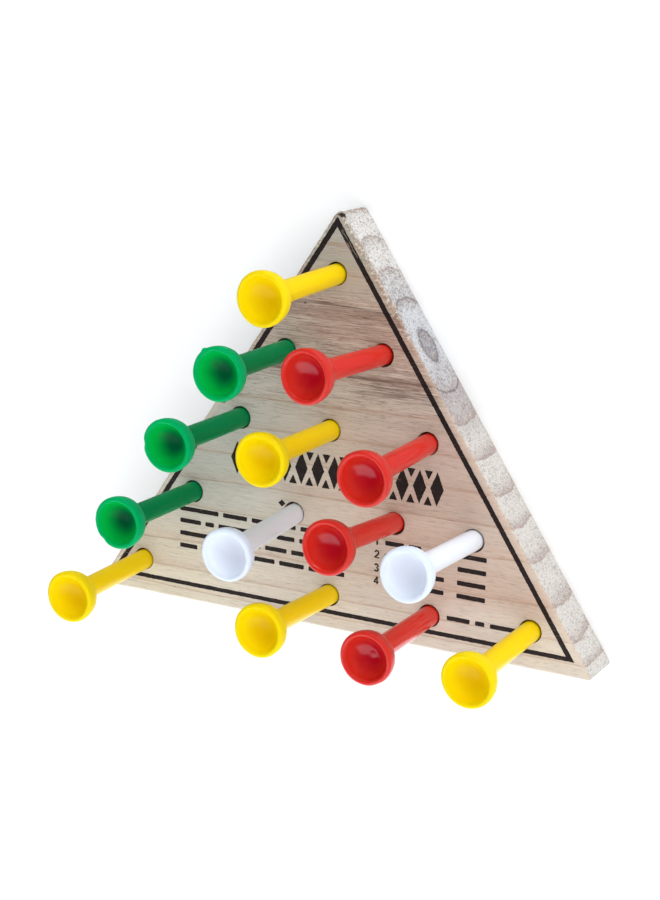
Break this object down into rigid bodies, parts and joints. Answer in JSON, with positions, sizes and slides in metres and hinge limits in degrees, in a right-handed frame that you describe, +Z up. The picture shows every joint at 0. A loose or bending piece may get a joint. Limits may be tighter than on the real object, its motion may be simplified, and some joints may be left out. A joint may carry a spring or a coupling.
{
  "type": "triangle peg jump game",
  "caption": "Triangular wooden board drilled with rows of blind holes, holding loose cup-headed plastic pegs with one hole left empty.",
  "frame": {"origin": "centre of the board's bounding rectangle, on its underside", "axes": "+X along the bottom edge of the triangle, +Y from the bottom edge to the apex, +Z up out of the drilled face, along the pegs; the board lies on its back as it is played"},
  "size_m": [0.1184, 0.089, 0.04],
  "materials": {
    "wood": "raw sawn and sanded softwood with a black ink print",
    "peg_yellow": "glossy moulded plastic",
    "peg_green": "glossy moulded plastic",
    "peg_red": "glossy moulded plastic",
    "peg_white": "glossy moulded plastic"
  },
  "bodies": {
    "board": {"board": "wood"},
    "peg_row1_yellow": {"peg_row1_yellow": "peg_yellow"},
    "peg_row2_left_green": {"peg_row2_left_green": "peg_green"},
    "peg_row2_right_red": {"peg_row2_right_red": "peg_red"},
    "peg_row3_left_green": {"peg_row3_left_green": "peg_green"},
    "peg_row3_middle_yellow": {"peg_row3_middle_yellow": "peg_yellow"},
    "peg_row3_right_red": {"peg_row3_right_red": "peg_red"},
    "peg_row4_first_green": {"peg_row4_first_green": "peg_green"},
    "peg_row4_second_white": {"peg_row4_second_white": "peg_white"},
    "peg_row4_third_red": {"peg_row4_third_red": "peg_red"},
    "peg_row4_fourth_white": {"peg_row4_fourth_white": "peg_white"},
    "peg_row5_first_yellow": {"peg_row5_first_yellow": "peg_yellow"},
    "peg_row5_third_yellow": {"peg_row5_third_yellow": "peg_yellow"},
    "peg_row5_fourth_red": {"peg_row5_fourth_red": "peg_red"},
    "peg_row5_fifth_yellow": {"peg_row5_fifth_yellow": "peg_yellow"}
  },
  "joints": [
    {"name": "lift_row1_yellow", "type": "slide", "parent": "board", "child": "peg_row1_yellow", "axis": [-0.0279, -0.0471, 0.9985], "range_m": [0, 0.04]},
    {"name": "lift_row2_left_green", "type": "slide", "parent": "board", "child": "peg_row2_left_green", "axis": [0.0314, -0.007, 0.9995], "range_m": [0, 0.04]},
    {"name": "lift_row2_right_red", "type": "slide", "parent": "board", "child": "peg_row2_right_red", "axis": [-0.0698, 0.0052, 0.9976], "range_m": [0, 0.04]},
    {"name": "lift_row3_left_green", "type": "slide", "parent": "board", "child": "peg_row3_left_green", "axis": [-0.0017, -0.0105, 0.9999], "range_m": [0, 0.04]},
    {"name": "lift_row3_middle_yellow", "type": "slide", "parent": "board", "child": "peg_row3_middle_yellow", "axis": [-0.0035, -0.0105, 0.9999], "range_m": [0, 0.04]},
    {"name": "lift_row3_right_red", "type": "slide", "parent": "board", "child": "peg_row3_right_red", "axis": [0.0017, -0.0332, 0.9994], "range_m": [0, 0.04]},
    {"name": "lift_row4_first_green", "type": "slide", "parent": "board", "child": "peg_row4_first_green", "axis": [-0.0052, -0.0087, 0.9999], "range_m": [0, 0.04]},
    {"name": "lift_row4_second_white", "type": "slide", "parent": "board", "child": "peg_row4_second_white", "axis": [0.0157, -0.0576, 0.9982], "range_m": [0, 0.04]},
    {"name": "lift_row4_third_red", "type": "slide", "parent": "board", "child": "peg_row4_third_red", "axis": [-0.0104, 0.0645, 0.9979], "range_m": [0, 0.04]},
    {"name": "lift_row4_fourth_white", "type": "slide", "parent": "board", "child": "peg_row4_fourth_white", "axis": [-0.0401, 0.0087, 0.9992], "range_m": [0, 0.04]},
    {"name": "lift_row5_first_yellow", "type": "slide", "parent": "board", "child": "peg_row5_first_yellow", "axis": [0.0087, -0.0297, 0.9995], "range_m": [0, 0.04]},
    {"name": "lift_row5_third_yellow", "type": "slide", "parent": "board", "child": "peg_row5_third_yellow", "axis": [-0.0175, 0.014, 0.9998], "range_m": [0, 0.04]},
    {"name": "lift_row5_fourth_red", "type": "slide", "parent": "board", "child": "peg_row5_fourth_red", "axis": [0.0017, -0.0105, 0.9999], "range_m": [0, 0.04]},
    {"name": "lift_row5_fifth_yellow", "type": "slide", "parent": "board", "child": "peg_row5_fifth_yellow", "axis": [-0.0279, -0.0454, 0.9986], "range_m": [0, 0.04]}
  ]
}
